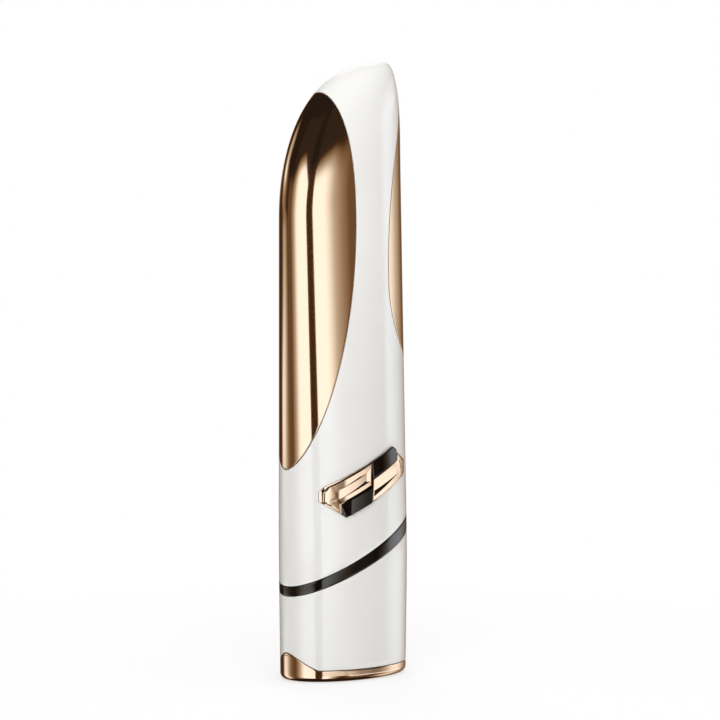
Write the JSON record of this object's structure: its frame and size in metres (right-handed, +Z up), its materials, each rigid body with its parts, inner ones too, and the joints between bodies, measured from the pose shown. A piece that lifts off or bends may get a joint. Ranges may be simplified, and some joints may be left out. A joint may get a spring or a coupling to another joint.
{
  "type": "eye care wand",
  "caption": "Slim standing eye care wand with a slanted domed top, gold leaf plates let into its sides, a slanted black ring, a gold foot and a badge of gold press buttons.",
  "frame": {"origin": "middle of the charging inlet in the flat face of the foot, which the wand stands on", "axes": "+Z up along the wand; the buttons face -Y; the higher side of the slanted ring is at +X"},
  "size_m": [0.0356, 0.0234, 0.15],
  "materials": {
    "white_lacquer": "gloss pearl lacquer",
    "mirror_gold": "polished rose gold plating",
    "black_gloss": "piano gloss",
    "dark_seal": "matt",
    "frame_plastic": "fine moulded texture",
    "board_green": "solder mask",
    "chip_black": "matt",
    "switch_stem": "satin",
    "bright_steel": "satin",
    "battery_wrap": "foil pouch",
    "foam": "open foam",
    "contact_brass": "bright"
  },
  "bodies": {
    "body": {"upper_shell": "white_lacquer", "lower_shell": "white_lacquer", "base_cap": "mirror_gold", "left_leaf_plate": "mirror_gold", "right_leaf_plate": "mirror_gold", "badge_bezel": "mirror_gold", "band_ring": "black_gloss", "left_inlay": "black_gloss", "right_inlay": "black_gloss", "base_gasket": "dark_seal", "motor_boot": "dark_seal", "chassis": "frame_plastic", "main_board": "board_green", "board_components": "chip_black", "left_switch": "chip_black", "right_switch": "chip_black", "usb_tongue": "chip_black", "usb_socket": "bright_steel", "vibration_motor": "bright_steel", "shell_screws": "bright_steel", "foot_screws": "bright_steel", "board_screws": "bright_steel", "battery": "battery_wrap", "battery_pad": "foam", "left_contact_stud": "contact_brass", "right_contact_stud": "contact_brass", "left_contact_spring": "contact_brass", "right_contact_spring": "contact_brass"},
    "left_button": {"left_button": "mirror_gold", "left_switch_stem": "switch_stem"},
    "right_button": {"right_button": "mirror_gold", "right_switch_stem": "switch_stem"},
    "motor_rotor": {"motor_shaft": "bright_steel", "eccentric_weight": "bright_steel"}
  },
  "joints": [
    {"name": "left_button_press", "type": "slide", "parent": "body", "child": "left_button", "axis": [0, 1, 0], "range_m": [0, 0.0005], "stiffness_N_per_m": 1500},
    {"name": "right_button_press", "type": "slide", "parent": "body", "child": "right_button", "axis": [0, 1, 0], "range_m": [0, 0.0005], "stiffness_N_per_m": 1500},
    {"name": "motor_spin", "type": "hinge", "parent": "body", "child": "motor_rotor", "pos_m": [0.002, -0.00102, 0.1245], "axis": [0, 0, 1], "continuous": true}
  ]
}
